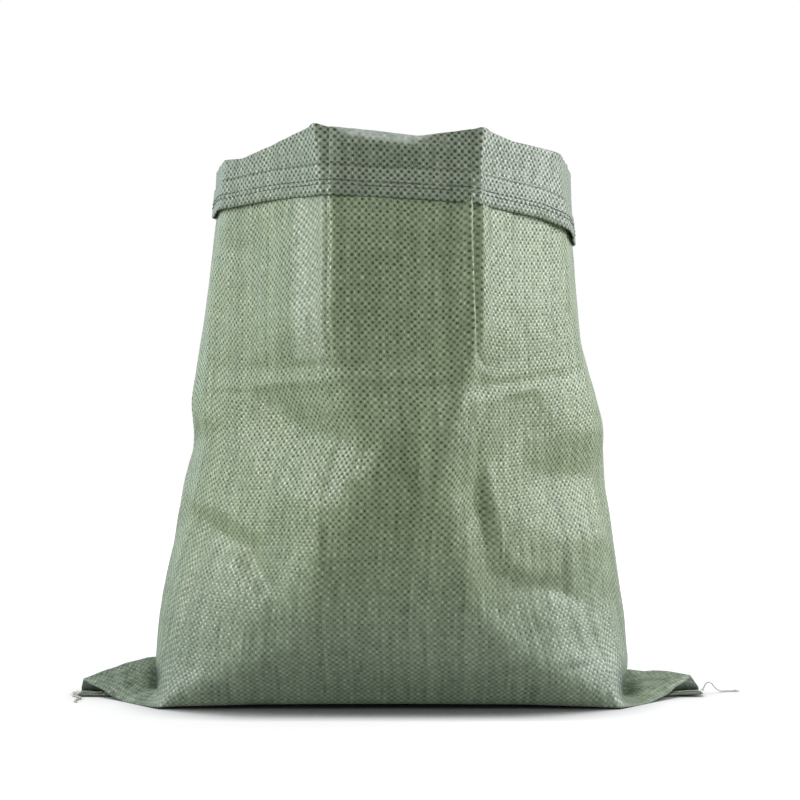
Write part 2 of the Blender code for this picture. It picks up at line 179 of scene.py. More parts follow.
# The folds of the front: lines along which the cloth stands out or in, with flat facets stretched between
# them. Each point is (place round the front, height, how far out), in millimetres
FACETED_FOLDS = {
    "left side": ((0, 36, 0), (0, 120, 0), (0, 200, 0), (0, 300, 0), (0, 430, 0)),
    "right side": ((500, 36, 0), (500, 120, 0), (500, 200, 0), (500, 300, 0), (500, 430, 0)),
    "foot": ((70, 34, 0), (140, 34, 0), (250, 34, 0), (350, 34, 0), (430, 34, 0)),
    "top": (
        (60, 430, 0), (140, 430, 0), (190, 430, 0), (250, 430, 0), (293, 430, 0), (360, 430, 0),
        (430, 430, 0),
    ),
    "above pack crease": (
        (60, 258, -0.3), (100, 257, -0.4), (160, 257, -0.2), (220, 257, -0.4), (270, 257, -0.4),
        (293, 258, 0),
    ),
    "above pack crease right": ((326, 260, -0.3), (360, 262, -0.3), (410, 268, -0.1)),
    "pack crease": (
        (53, 243.5, 0.6), (123, 244.5, 1.4), (160, 245, 1.8), (196, 245, 1.5), (239, 245.5, 0.9),
        (282, 246, 0.7), (333, 248, 0.6), (361, 251.5, 0.6), (409, 258, 0.5), (475, 268.5, 0.2),
    ),
    "under pack crease": (
        (60, 240.5, 0), (118, 241.5, 0.2), (150, 242, 0.3), (196, 242, 0.3), (239, 242.5, 0),
        (282, 243, -0.1), (333, 244.8, 0), (361, 248.2, -0.1), (412, 254.5, 0), (475, 265, 0),
    ),
    "smooth facet": ((164, 230, 0.2), (188, 227, 0), (204, 224, 0.4)),
    "smooth facet edge": ((209, 232, 0.8), (207, 221, 0.2), (207, 211, -1.2)),
    "bright valley": (
        (111, 237, -0.2), (127, 230, -1.4), (151, 220, -2.2), (174, 212, -2.8), (204, 204, -2.8),
        (223, 199, -2.2), (231, 197, -1),
    ),
    "patch edge": ((235, 196, 3.6), (236, 183, 4.6), (237, 171, 4.4), (235, 161, 2)),
    "beyond patch": ((240, 200, -0.6), (242, 183, -1.2), (244, 169, -0.8), (242, 157, 0)),
    "bright ridge": (
        (82, 214, 1.4), (99, 197, 3.2), (123, 179, 4), (158, 164, 4.2), (193, 156, 3.8), (219, 154, 2.6),
    ),
    "inner streak": ((127, 207, 0.4), (154, 193, 0.8), (188, 180, 0.9), (216, 175, 1.2)),
    "left smooth": ((89, 232, 1.6), (90, 223, 1.8)),
    "left dent": ((39, 227, 1.5), (27, 205, -2.5), (26, 187, -2)),
    "left streak": ((25, 163, 1.2), (65, 155, 2.8), (94, 147, 3.6), (124, 137, 2.8), (142, 128, 1)),
    "left hollow": ((48, 149, -0.8), (77, 140, -2), (108, 129, -2), (131, 121, -1.6)),
    "low left band": ((50, 107, 0.8), (83, 109, 2.4), (105, 110, 3.6), (122, 105, 3.8), (136, 95, 3)),
    "dim diagonal": ((113, 118, 2.2), (124, 111, 1.2), (141, 98, 1.6)),
    "short crease": (
        (123, 121, -1.6), (132, 114, -2.4), (145, 103, -2.6), (156, 92, -2), (169, 72, -1.4),
        (175, 53, -0.6),
    ),
    "beside crease": ((132, 124, -0.4), (142, 116, 0.2), (156, 104, -0.6), (171, 86, 0)),
    "low cluster": ((169, 126, 2), (185, 110, 3.2), (194, 92, 3.4)),
    "low left edge": ((196, 136, 3.4), (199, 115, 4.6), (202, 93, 4.4), (201, 70, 2)),
    "beyond edge": ((203, 136, 0.4), (206, 115, 0), (208, 93, 0.2), (207, 69, 0.2)),
    "left corner": ((74, 25, 0), (87, 32, 2.2), (109, 40, 1.2)),
    "front hollow": ((257, 218, -2), (259, 190, -5), (262, 155, -7.2), (262, 112, -5.6), (261, 59, -2.2)),
    "front edge": (
        (275, 225, 1.4), (274, 204, 1.8), (275, 178, 3.4), (276, 155, 3.8), (279, 130, 2.2),
        (285, 105, 0.4),
    ),
    "groove left": ((310, 183, 0.4), (313, 172, -1.6), (317, 153, -3), (320, 134, -1.4)),
    "groove": ((317, 183, -0.6), (320, 171, -4.2), (324, 153, -6.2), (327, 132, -3.6)),
    "groove right": (
        (323, 184, 0.8), (327, 173, 2.2), (331, 154, 3.6), (335, 133, 4), (346, 114, 4.2), (369, 107, 3.4),
        (401, 102, 2.4),
    ),
    "under patch": ((324, 121, -1.2), (337, 104, -2.2), (368, 95, -2.4), (401, 90, -1.6)),
    "upright hollow": ((363, 235, -1.4), (362, 215, -3), (362, 196, -1.6)),
    "band ridge": ((304, 232, 1.2), (332, 233, 2), (388, 242, 1.2), (427, 237, 2.4), (494, 242, 1.4)),
    "band middle": ((407, 211, 2.6), (445, 212, 3.4), (500, 219, 2)),
    "band hollow": ((376, 182, -1.2), (407, 179, -2.6), (444, 178, -3), (505, 173, -1.6)),
    "right bulge": ((361, 138, 2.8), (392, 132, 4), (428, 129, 4.4), (466, 126, 2.2)),
    "low hollow": ((287, 82, -1.4), (306, 85, -0.8), (333, 79, -1.8), (360, 82, -1)),
    "low right ridge": ((394, 84, 1.6), (389, 68, 2.8), (386, 50, 2.8), (392, 36, 1.8)),
    "beyond ridge low": ((424, 79, -0.6), (424, 52, -1), (419, 34, -0.6)),
    "small wrinkle left": ((369, 277, 0.2), (369, 262, 0.2)),
    "small wrinkle": ((373.5, 279, -1), (373.5, 261, -1)),
    "small wrinkle right": ((379, 277, 0.5), (379, 262, 0.5)),
    "left faint above": ((20, 370, 0.7), (119, 350, 0.4)),
    "left faint": ((20, 361.5, -1.5), (60, 353, -1.8), (119, 341, -0.9)),
    "left faint below": ((20, 353, 0.7), (119, 332, 0.4)),
}
# The upright folds, each as (place round the front, how far out) at these heights from the top down
UPRIGHT_HEIGHTS = (400, 340, 290, 262)
UPRIGHT_FOLDS = {
    "slant edge": ((165.6, 1.2), (163.2, 2.6), (164.9, 2.8), (163.7, 1.6)),
    "left crease dip": ((190.6, -0.5), (188.7, -0.8), (190, -0.7), (187.9, -0.2)),
    "left crease ridge": ((196.3, 1), (194.7, 1.4), (195.7, 1.3), (193.6, 0.5)),
    "left crease groove": ((200.6, -0.6), (200.2, -0.8), (200.6, -0.7), (199, 0)),
    "left second ridge": ((204.5, 0.3), (204.8, 0.4), (204.9, 0.3), (204, 0.1)),
    "beyond left crease": ((209.1, -0.2), (209.4, -0.4), (209.6, -0.3), (209.2, 0)),
    "faint upright left": ((282, 0), (282.4, 0.4), (282.7, 0.4)),
    "faint upright": ((287, -0.4), (287.3, -1.3), (287.6, -1.1)),
}
TALL_HEIGHTS = (400, 370, 337, 288, 262)
TALL_FOLDS = {
    "beside ridge": ((295.6, 0), (295.8, 0), (296.4, 0), (298.4, 0), (298.7, 0)),
    "ridge foot": ((297.3, 0.3), (297.6, 0.9), (298.2, 1.2), (300.2, 0.9), (300.7, 0.4)),
    "tall ridge": ((301.6, 1.2), (301.9, 3.6), (302.6, 4), (305.3, 3.4), (305.9, 1.8)),
    "tall groove": ((305.7, -1.8), (306.8, -3.6), (308.2, -4), (309.9, -3), (310.5, -1.4)),
    "second tall ridge": ((310.9, 0.7), (312.7, 2.2), (313.6, 2.4), (314.6, 2), (316.4, 1)),
    "beyond ridge": ((325, 0), (327.2, 0.3), (327.7, 0.4), (328.5, 0.3), (330.5, 0)),
}
# The back has the same creases from packing and standing, and none of the others
BACK_FOLDS = ("left side", "right side", "foot", "top", "above pack crease", "above pack crease right",
              "pack crease", "under pack crease", "bright ridge", "bright valley", "left streak",
              "left hollow", "band ridge", "band middle", "band hollow", "right bulge", "low hollow",
              "front hollow")
BACK_SHARE = 0.8
# The small unevenness all over: how high, how close across and up, and what sets it
UNEVENNESS = ((0.0008, 24, 24, 1.5), (0.0004, 75, 60, 4.5), (0.0007, 90, 12, 9.5))

# A painted highlight lightens the tape in the rolled rim, down to this far below it, less so at the back,
# and a little beside the left crease above the crease from packing
PALE_PLACES = (0.000, 0.199, 0.213, 0.238, 0.262, 0.288, 0.500)
PALE_DEPTHS = (-0.004, -0.002, 0.0055, 0.0085, 0.0070, -0.002, -0.004)
PALE_EDGE = 0.002
HIGHLIGHT_PAINTED = 0.75
HIGHLIGHT_PAINTED_BEHIND = 0.4
HIGHLIGHT_PAINTED_BESIDE_CREASE = 0.14
PALE_CREASE_FROM = 0.162
PALE_CREASE_TO = 0.200
PACK_CREASE = 0.262

# The sewing
YARN = 0.0012
TURNS_PER_METRE = 420
STITCH_ROWS = {"mouth_hem_thread_lower": 0.0075, "mouth_hem_thread_upper": 0.0105}
STITCH = 0.0042
STITCH_STEP = 0.0056
STITCH_YARN = 0.0009
# How far a loose stitch moves along its row, and how much higher one end of it lies than its middle
LOOSE_SHIFT = 0.0008
LOOSE_RISE = 0.0007
SEAM_STITCH = 0.0065
SEAM_END = 0.2515
SEAM_SHOWS_FROM = 0.220
SEAM_Y = -0.0085
SEAM_FORWARD = 0.0055
SEAM_FORWARD_FROM = 0.222
SEAM_FORWARD_TO = 0.2510
SEAM_HIDDEN_HEIGHT = 0.0009

# Where the loose ends of the seam thread lie, and the fibres that stand off them
TAIL_ROUTES = {
    "seam_thread_tail_left": (
        (-0.2523, -0.0087, 0.0020), (-0.2532, -0.0105, 0.0014), (-0.2536, -0.0145, 0.0009),
        (-0.2520, -0.0190, 0.0009), (-0.2488, -0.0225, 0.0009), (-0.2455, -0.0265, 0.0009),
        (-0.2445, -0.0315, 0.0009), (-0.2460, -0.0365, 0.0009), (-0.2465, -0.0415, 0.0009),
        (-0.2440, -0.0460, 0.0009),
    ),
    "seam_thread_tail_right": (
        (0.2518, -0.0085, 0.0030), (0.2530, -0.0072, 0.0057), (0.2548, -0.0058, 0.0082),
        (0.2572, -0.0047, 0.0093), (0.2598, -0.0038, 0.0083), (0.2620, -0.0028, 0.0058),
        (0.2652, -0.0010, 0.0028), (0.2690, 0.0017, 0.0012), (0.2732, 0.0037, 0.0009),
        (0.2775, 0.0037, 0.0009), (0.2820, 0.0045, 0.0009),
    ),
}
# The point of each route that is frayed, and how far its fibres spread
FRAYED = {"seam_thread_tail_left": (1, 0.0050), "seam_thread_tail_right": (-1, 0.0035)}
FIBRES = 14
FIBRE = 0.00022

# The colours of the tape from its darkest to its lightest: outside, inside, and darker and bluer near the
# ground, which is painted shade
TAPE_OUTSIDE = ((0.032, 0.062, 0.020, 1), (0.450, 0.510, 0.305, 1))
TAPE_INSIDE = ((0.026, 0.045, 0.022, 1), (0.400, 0.450, 0.325, 1))
TAPE_LOW_PAINTED_SHADE = ((0.030, 0.050, 0.032, 1), (0.365, 0.440, 0.325, 1))
# The colour of the painted highlight
TAPE_HIGHLIGHT = (0.66, 0.70, 0.63, 1)
# Dirt and painted shade: the underside on the floor, dirty and lying in shade, and the ears' hollows are
# darkened towards this
SOIL_AND_SHADE = (0.012, 0.024, 0.016, 1)
# The darkest and lightest colour of each yarn
YARN_COLOURS = {
    "worn_seam_yarn": ((0.62, 0.54, 0.53, 1), (0.95, 0.88, 0.86, 1)),
    "cream_seam_yarn": ((0.46, 0.40, 0.33, 1), (0.82, 0.78, 0.70, 1)),
    # The hem yarn is darker than the tape: its own green, with painted shade for the shadows of its stitches
    "green_hem_yarn_and_shade": ((0.030, 0.045, 0.028, 1), (0.15, 0.19, 0.13, 1)),
}

# How light the cloth is, how much darker its dots are, and how much its crossings, tapes and patches vary
TONE = 0.44
DOT = 0.40
CROSSING_SPREAD = 0.13
UPRIGHT_SPREAD = 0.13
LEVEL_SPREAD = 0.04
BROAD_SPREAD = 0.12
# The weave shows less below this band of heights, and painted shade darkens and cools it up to this one
CLEAR_WEAVE = (0.06, 0.22)
LOW_PAINTED_SHADE_UP = (0.01, 0.16)
# The ears are worn outwards of this band, and below this one
WORN_OUTWARDS = (0.172, 0.196)
WORN_BELOW = (0.020, 0.034)
# How far each kind of tape bulges over a crossing, lies twisted along its length, and tilts at each crossing
LEVEL_BULGE = 0.12
UPRIGHT_BULGE = 0.35
TWIST = 5.5
TILT = 0.8
WEAVE_DEPTH = 0.00035
FUZZ_DEPTH = 0.0001

# The camera
CAMERA_PLACE = (0.008, -1.168, 0.1993)
LENS = 64.8
SHIFT_UP = 0.05875

# The studio: each softbox's place, aim, width, height, power and colour, how bright the walls and the ceiling
# are, the colour of their light, and the floor
SOFTBOXES = {
    "softbox_left": ((-1.42, -0.30, 0.75), (0.0, 0.0, 0.25), 0.50, 1.0, 16.3, (0.99, 1.00, 1.00)),
    "softbox_right": ((1.40, 0.10, 0.80), (0.0, 0.0, 0.25), 1.0, 1.1, 23, (0.97, 1.00, 1.03)),
    "softbox_far_left": ((-1.20, 0.85, 0.70), (0.0, 0.0, 0.25), 0.50, 0.9, 1.6, (0.78, 1.00, 1.14)),
    "softbox_front": ((0.10, -2.30, 1.65), (0.0, -0.15, 0.30), 1.3, 0.6, 14, (1.00, 1.00, 0.97)),
}
FRONT_WALL = 0.66
BACK_WALL = 1.0
CEILING = 0.25
LEFT_LIGHT = (0.78, 0.98, 1.12, 1)
ROOM_LIGHT = (0.95, 1.0, 1.04, 1)
FLOOR_COLOURS = ((0.58, 0.58, 0.575, 1), (0.62, 0.62, 0.615, 1))
FLOOR_SEEN = (0.26, 0.26, 0.26, 1)
# How bright the floor glows for the camera, by how open it is above, and how far from the sack
CONTACT_REACH = 0.038
GLOW_BY_OPENNESS = ((0.53, 0.61, 0.40), (0.58, 0.80, 0.15), (0.80, 1.00, 0.22))
GLOW_BY_DISTANCE = (0.22, 0.50, 0.25)


# Small helpers


def deselect():
    for thing in bpy.context.selected_objects:
        thing.select_set(False)
    bpy.context.view_layer.objects.active = None


def smooth_step(value):
    value = np.clip(value, 0, 1)
    return value * value * (3 - 2 * value)


def length_along(points):
    steps = np.linalg.norm(np.diff(points, axis=0), axis=1)
    return np.concatenate([[0], np.cumsum(steps)])


def read_line(wanted, along, line):
    """The points of a line at the wanted lengths, where along gives the length at each point it has."""
    return np.stack([np.interp(wanted, along, line[:, axis]) for axis in range(line.shape[1])], axis=1)


def soften(points, passes):
    """Rounds the corners of a line of points that are equal lengths apart, and keeps its two ends."""
    points = points.copy()
    for _ in range(passes):
        points[1:-1] = (points[:-2] + 2 * points[1:-1] + points[2:]) / 4
    return points


def resample(points, count):
    """A line of points cut into equal lengths."""
    along = length_along(points)
    return read_line(np.linspace(0, along[-1], count), along, points)


def smooth_route(points, spacing):
    """Points a set way apart on a smooth curve through the route's own points."""
    points = [np.array(point, float) for point in points]
    padded = [2 * points[0] - points[1], *points, 2 * points[-1] - points[-2]]
    fine = []
    for before, start, end, after in zip(padded, padded[1:], padded[2:], padded[3:]):
        for t in np.linspace(0, 1, 24, endpoint=False):
            first = 2 * start + (end - before) * t
            second = (2 * before - 5 * start + 4 * end - after) * t**2
            third = (3 * start - before - 3 * end + after) * t**3
            fine.append(0.5 * (first + second + third))
    fine = np.array([*fine, points[-1]])
    return resample(fine, max(2, round(length_along(fine)[-1] / spacing)) + 1)


def mesh_piece(name, points, faces):
    """A piece made from points and faces, with its faces turned outwards and shaded smoothly."""
    data = bpy.data.meshes.new(name)
    data.from_pydata([tuple(point) for point in points], [], faces)
    data.update()
    piece = bpy.data.objects.new(name, data)
    bpy.context.scene.collection.objects.link(piece)
    deselect()
    piece.select_set(True)
    bpy.context.view_layer.objects.active = piece
    bpy.ops.object.mode_set(mode="EDIT")
    bpy.ops.mesh.select_all(action="SELECT")
    bpy.ops.mesh.normals_make_consistent(inside=False)
    bpy.ops.object.mode_set(mode="OBJECT")
    bpy.ops.object.shade_smooth_by_angle(angle=math.radians(60))
    return piece


def dress(piece, material):
    """A finished piece gets its material, and rides with the sack."""
    piece.data.materials.append(material)
    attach(piece, "root")
    return piece


# The camera


def make_camera():
    deselect()
    bpy.ops.object.camera_add(location=CAMERA_PLACE, rotation=(math.radians(90), 0, 0))
    camera = bpy.context.object
    camera.name = "studio_camera"
    camera.data.lens = LENS
    camera.data.sensor_width = 36
    camera.data.shift_y = SHIFT_UP
    camera.data.clip_end = 50
    bpy.context.scene.camera = camera


make_camera()


# Materials


class Nodes:
    """The nodes of a material or of the world, with short ways to add what they are made of here."""

    def __init__(self, owner):
        owner.use_nodes = True
        self.tree = owner.node_tree

    def link(self, source, target):
        self.tree.links.new(source, target)

    def put(self, socket, value):
        if isinstance(value, bpy.types.NodeSocket):
            self.link(value, socket)
        else:
            socket.default_value = value

    def add(self, kind, values=None, **settings):
        """A new node with its settings, and its values or links by the name or number of their socket."""
        node = self.tree.nodes.new(kind)
        for name, setting in settings.items():
            setattr(node, name, setting)
        for socket, value in (values or {}).items():
            self.put(node.inputs[socket], value)
        return node

    def math(self, operation, *values):
        return self.add("ShaderNodeMath", dict(enumerate(values)), operation=operation).outputs[0]

    def plus(self, first, second):
        return self.math("ADD", first, second)

    def minus(self, first, second):
        return self.math("SUBTRACT", first, second)

    def times(self, first, second):
        return self.math("MULTIPLY", first, second)

    def scaled(self, value, factor, added):
        return self.math("MULTIPLY_ADD", value, factor, added)

    def mix(self, share, first, second, kind="RGBA"):
        values = {"Factor": share, "A": first, "B": second}
        return self.add("ShaderNodeMix", values, data_type=kind).outputs["Result"]

    def steps(self, value, low, high, out_low, out_high):
        """A smooth change from one number to another, as the value goes from low to high."""
        values = {"Value": value, "From Min": low, "From Max": high, "To Min": out_low, "To Max": out_high}
        return self.add("ShaderNodeMapRange", values, interpolation_type="SMOOTHSTEP").outputs["Result"]

    def split(self, vector):
        return self.add("ShaderNodeSeparateXYZ", {0: vector}).outputs[:3]

    def join(self, x, y, z=0.0):
        return self.add("ShaderNodeCombineXYZ", {0: x, 1: y, 2: z}).outputs[0]

    def noise(self, vector, scale, detail, roughness):
        values = {"Vector": vector, "Scale": scale, "Detail": detail, "Roughness": roughness}
        return self.add("ShaderNodeTexNoise", values).outputs["Fac"]

    def random(self, vector):
        node = self.add("ShaderNodeTexWhiteNoise", {"Vector": vector}, noise_dimensions="2D")
        return node.outputs["Value"]

    def coordinates(self, kind):
        return self.add("ShaderNodeTexCoord").outputs[kind]

    def attribute(self, name):
        return self.add("ShaderNodeAttribute", attribute_name=name).outputs["Fac"]

    def for_camera(self):
        """1 on what the camera sees itself, 0 on what only lights something else."""
        return self.add("ShaderNodeLightPath").outputs["Is Camera Ray"]

    def surface(self, colour, roughness, specular, more=None):
        values = {"Base Color": colour, "Roughness": roughness, "Specular IOR Level": specular}
        for socket, value in (values | (more or {})).items():
            self.put(self.tree.nodes["Principled BSDF"].inputs[socket], value)

    def bump(self, height, distance, strength):
        node = self.add("ShaderNodeBump", {"Height": height, "Distance": distance, "Strength": strength})
        self.link(node.outputs["Normal"], self.tree.nodes["Principled BSDF"].inputs["Normal"])


class Weave:
    """The weave at each point of the cloth: its two tapes, the place across each, and which is on top."""

    def __init__(self, n):
        self.x, self.y, _ = n.split(n.coordinates("UV"))
        even_u, even_v = n.math("DIVIDE", self.x, TAPE), n.math("DIVIDE", self.y, TAPE)
        # No tape is quite as straight or as wide as the next
        u = wandering(n, even_u, even_v, 0.0)
        self.v = wandering(n, even_v, even_u, 57.0)
        # Which tape this is, and where across it: -0.5 to 0.5
        self.column, self.row = n.math("FLOOR", u), n.math("FLOOR", self.v)
        self.across = n.minus(n.minus(u, self.column), 0.5)
        self.up = n.minus(n.minus(self.v, self.row), 0.5)
        # 1 where the upright tape is on top, 0 where the level one is
        self.over = n.math("PINGPONG", n.plus(self.column, self.row), 1.0)
        self.under = n.minus(1.0, self.over)
        self.crossing = n.random(n.join(self.column, self.row))
        # The ears are creased and worn, and the cuff is turned inside out
        self.beside, _, self.high = n.split(n.coordinates("Object"))
        low = n.steps(self.high, *WORN_BELOW, 1.0, 0.0)
        self.worn = n.times(n.steps(n.math("ABSOLUTE", self.beside), *WORN_OUTWARDS, 0.0, 1.0), low)
        self.inside = n.attribute("turned_out")


def wandering(n, place, along, offset):
    """A place across the tapes, moved a little: slowly along each tape, and anew at the next one."""
    drift = n.noise(n.join(n.times(place, 0.60), n.times(along, 0.11), offset), 1.0, 2.0, 0.5)
    return n.scaled(n.minus(drift, 0.5), 0.75, place)


def crown(n, place):
    """The bulge along a tape between two crossings: 1 in the middle, 0 where it dives."""
    return n.math("COSINE", n.times(place, math.pi))


def edge(n, place):
    """Full height across a tape, falling off at its two edges."""
    return n.steps(n.math("ABSOLUTE", place), 0.30, 0.50, 1.0, 0.0)


def dark_dots(n, weave):
    """The level tapes, which show as dark dots between the lighter upright ones: painted shade, as they
    reflect less light.
    """
    from_middle = n.math("SQRT", n.plus(n.times(weave.across, weave.across), n.times(weave.up, weave.up)))
    dot = n.times(weave.under, n.steps(from_middle, 0.18, 0.58, 1.0, 0.0))
    dot = n.times(dot, n.scaled(weave.crossing, 1.00, 0.45))
    # They show least where the cloth is worn and low down, and most on the cuff
    dot = n.times(dot, n.scaled(weave.worn, -0.55, 1.0))
    dot = n.times(dot, n.scaled(weave.inside, 0.35, 1.0))
    return n.times(dot, n.steps(weave.high, *CLEAR_WEAVE, 0.62, 1.0))


def tape_tone(n, weave, dot):
    """How light the cloth is, from 0 at its darkest to 1 at its lightest."""
    # The ears' cloth is darker at the left ear and lighter at the right one
    tone = n.scaled(dot, -DOT, n.scaled(weave.worn, n.steps(weave.beside, -0.01, 0.01, -0.12, 0.06), TONE))
    scuffs = n.noise(n.coordinates("Object"), 130.0, 4.0, 0.70)
    tone = n.plus(tone, n.times(n.minus(scuffs, 0.5), n.scaled(weave.worn, 0.9, 0.1)))
    # Painted highlight on the upright tapes where they rise over the level ones, some crossings more than
    # others
    narrow = n.steps(n.math("ABSOLUTE", weave.across), 0.02, 0.28, 1.0, 0.0)
    rise = n.times(n.times(weave.over, crown(n, weave.up)), narrow)
    glint = n.math("POWER", n.random(n.join(weave.row, weave.column)), 2.0)
    tone = n.scaled(rise, n.scaled(glint, 0.52, 0.16), tone)
    # Every crossing, tape, streak and patch of cloth is a little lighter or darker than the next
    streaks = n.noise(n.join(n.times(weave.column, 1.7), n.times(weave.v, 0.10)), 1.0, 3.0, 0.7)
    spreads = (
        (weave.crossing, CROSSING_SPREAD),
        (n.random(n.join(weave.column, 7.0)), UPRIGHT_SPREAD),
        (n.random(n.join(31.0, weave.row)), LEVEL_SPREAD),
        (streaks, n.steps(weave.high, *CLEAR_WEAVE, 0.60, 0.34)),
        (n.noise(n.join(weave.x, weave.y), 14.0, 4.0, 0.6), BROAD_SPREAD),
    )
    for chance, spread in spreads:
        tone = n.scaled(n.minus(chance, 0.5), spread, tone)
    return n.math("MAXIMUM", tone, 0.0)


def tape_colour(n, weave, tone):
    """Green tape, greyer inside, painted shade near the foot, painted highlight, dirt and painted shade
    below.
    """
    colour = n.mix(n.times(weave.inside, 0.9), n.mix(tone, *TAPE_OUTSIDE), n.mix(tone, *TAPE_INSIDE))
    # Painted shade: the tape is darker and bluer towards the foot
    colour = n.mix(n.steps(weave.high, *LOW_PAINTED_SHADE_UP, 0.75, 0.0), colour, n.mix(tone, *TAPE_LOW_PAINTED_SHADE))
    # Painted highlight: the rolled rim, where it catches light from above, and a strip beside the left crease
    # are lightened
    highlight_share = n.times(n.attribute("painted_highlight"), n.scaled(weave.crossing, 0.5, 0.5))
    colour = n.mix(highlight_share, colour, TAPE_HIGHLIGHT)
    # Dirt and painted shade darken the underside on the floor, and painted shade darkens the ears' hollows
    return n.mix(n.times(n.attribute("soil_and_painted_shade"), 0.85), colour, SOIL_AND_SHADE)


def tape_roughness(n, weave, dot):
    """The level tapes lie deeper between the upright ones, so they shine less, and so does worn cloth."""
    rough = n.scaled(weave.crossing, 0.10, 0.27)
    rough = n.scaled(weave.under, 0.10, rough)
    rough = n.scaled(weave.worn, 0.20, rough)
    return n.scaled(n.math("MINIMUM", dot, 1.0), 0.22, rough)


def tape_relief(n, weave):
    """Each tape bulges a little where it is on top.

    It also lies twisted one way or the other, which changes slowly along it and anew at the next tape, and
    a little at every crossing.
    """
    upright = n.times(crown(n, weave.up), edge(n, weave.across))
    level = n.times(crown(n, weave.across), edge(n, weave.up))
    height = n.mix(weave.over, n.times(level, LEVEL_BULGE), n.times(upright, UPRIGHT_BULGE), "FLOAT")
    twist = n.noise(n.join(n.times(weave.column, 3.7), n.times(weave.v, 0.07), 11.0), 1.0, 2.0, 0.6)
    twist = n.times(n.minus(twist, 0.5), TWIST)
    tilt_across = n.minus(n.random(n.join(n.plus(weave.column, 0.37), weave.row)), 0.5)
    tilt_up = n.minus(n.random(n.join(weave.column, n.plus(weave.row, 0.61))), 0.5)
    height = n.scaled(weave.across, n.scaled(tilt_across, TILT, twist), height)
    return n.scaled(n.times(weave.up, tilt_up), TILT, height)


def woven_tape():
    """Plain weave of flat plastic tape, one over and one under, drawn in metres of cloth."""
    material = bpy.data.materials.new("woven_tape_cloth")
    n = Nodes(material)
    weave = Weave(n)
    dot = dark_dots(n, weave)
    colour = tape_colour(n, weave, tape_tone(n, weave, dot))
    n.surface(colour, tape_roughness(n, weave, dot), 0.50)
    n.bump(tape_relief(n, weave), WEAVE_DEPTH, 1.0)
    return material


def yarn(name, colours):
    """Spun sewing yarn, with a fuzz that is finer than its plies."""
    material = bpy.data.materials.new(name)
    n = Nodes(material)
    fuzz = n.noise(n.coordinates("Object"), 2600.0, 3.0, 0.6)
    broad = n.noise(n.coordinates("Object"), 240.0, 2.0, 0.5)
    colour = n.mix(n.scaled(fuzz, 0.7, n.times(broad, 0.3)), *colours)
    n.surface(colour, n.scaled(fuzz, 0.2, 0.65), 0.3)
    n.bump(fuzz, FUZZ_DEPTH, 0.5)
    return material


def pale_floor():
    """A white floor, which the camera sees as burnt out except where the sack shades it closely."""
    material = bpy.data.materials.new("pale_floor")
    n = Nodes(material)
    speckle = n.noise(n.coordinates("Object"), 30.0, 2.0, 0.5)
    lit = n.mix(speckle, *FLOOR_COLOURS)
    openness = n.add("ShaderNodeAmbientOcclusion", {"Distance": CONTACT_REACH}, samples=6).outputs["AO"]
    position = n.add("ShaderNodeNewGeometry").outputs["Position"]
    away = n.add("ShaderNodeVectorMath", {0: position}, operation="LENGTH")
    near, far, more = GLOW_BY_DISTANCE
    glow = n.steps(away.outputs["Value"], near, far, 0.0, more)
    for low, high, more in GLOW_BY_OPENNESS:
        glow = n.plus(glow, n.steps(openness, low, high, 0.0, more))
    seen = n.for_camera()
    emission = {"Emission Color": (1.0, 1.0, 0.99, 1), "Emission Strength": n.times(glow, seen)}
    n.surface(n.mix(seen, lit, FLOOR_SEEN), n.scaled(speckle, 0.1, 0.75), 0.2, emission)
    return material


YARNS = {name: yarn(name, colours) for name, colours in YARN_COLOURS.items()}


# Cords: the loose ends of the seam thread


def two_ply_tube(name, centre, radius, sides):
    """A yarn of two plies wound round a line of points, as one closed mesh with a figure-eight section."""
    centre = np.array(centre)
    along = length_along(centre)
    heading = np.gradient(centre, axis=0)
    heading /= np.linalg.norm(heading, axis=1)[:, None]
    level = np.cross(heading, (0.0, 0.0, 1.0))
    level /= np.linalg.norm(level, axis=1)[:, None]
    upward = np.cross(level, heading)
    points, faces = [], []
    count = 2 * sides
    for i, point in enumerate(centre):
        twist = 2 * math.pi * TURNS_PER_METRE * along[i]
        for k in range(count):
            angle = 2 * math.pi * k / count
            reach = radius * (0.62 + 0.38 * abs(math.cos(angle)))
            turned_by = angle + twist
            points.append(point + reach * (math.cos(turned_by) * level[i] + math.sin(turned_by) * upward[i]))
    for start in range(0, len(points) - count, count):
        for k in range(count):
            after = (k + 1) % count
            faces.append((start + k, start + count + k, start + count + after, start + after))
    faces.append(tuple(range(count)))
    faces.append(tuple(range(len(points) - 1, len(points) - count - 1, -1)))
    return mesh_piece(name, points, faces)


def one_fibre(i, place, spread):
    """The points of one short bent thread, as four triangles along it."""
    towards = 2.399 * i
    reach = spread * (0.5 + 0.5 * abs(math.sin(1.7 * i)))
    start = np.array(place) + np.array([math.cos(3.1 * i), math.sin(2.3 * i), 0.0]) * 0.0004
    points = []
    for share in (0.0, 0.35, 0.7, 1.0):
        way = towards + 0.6 * math.sin(2.0 * i + 3.0 * share)
        at = start + reach * share * np.array([math.cos(way), math.sin(way), 0.0])
        at[2] = max(0.0003, start[2] + reach * 0.35 * math.sin(3.0 * share) - share * start[2] * 0.8)
        for corner in range(3):
            turn = 2 * math.pi * corner / 3
            points.append(at + FIBRE / 2 * np.array([math.cos(turn), math.sin(turn) * 0.6, math.sin(turn)]))
    return points


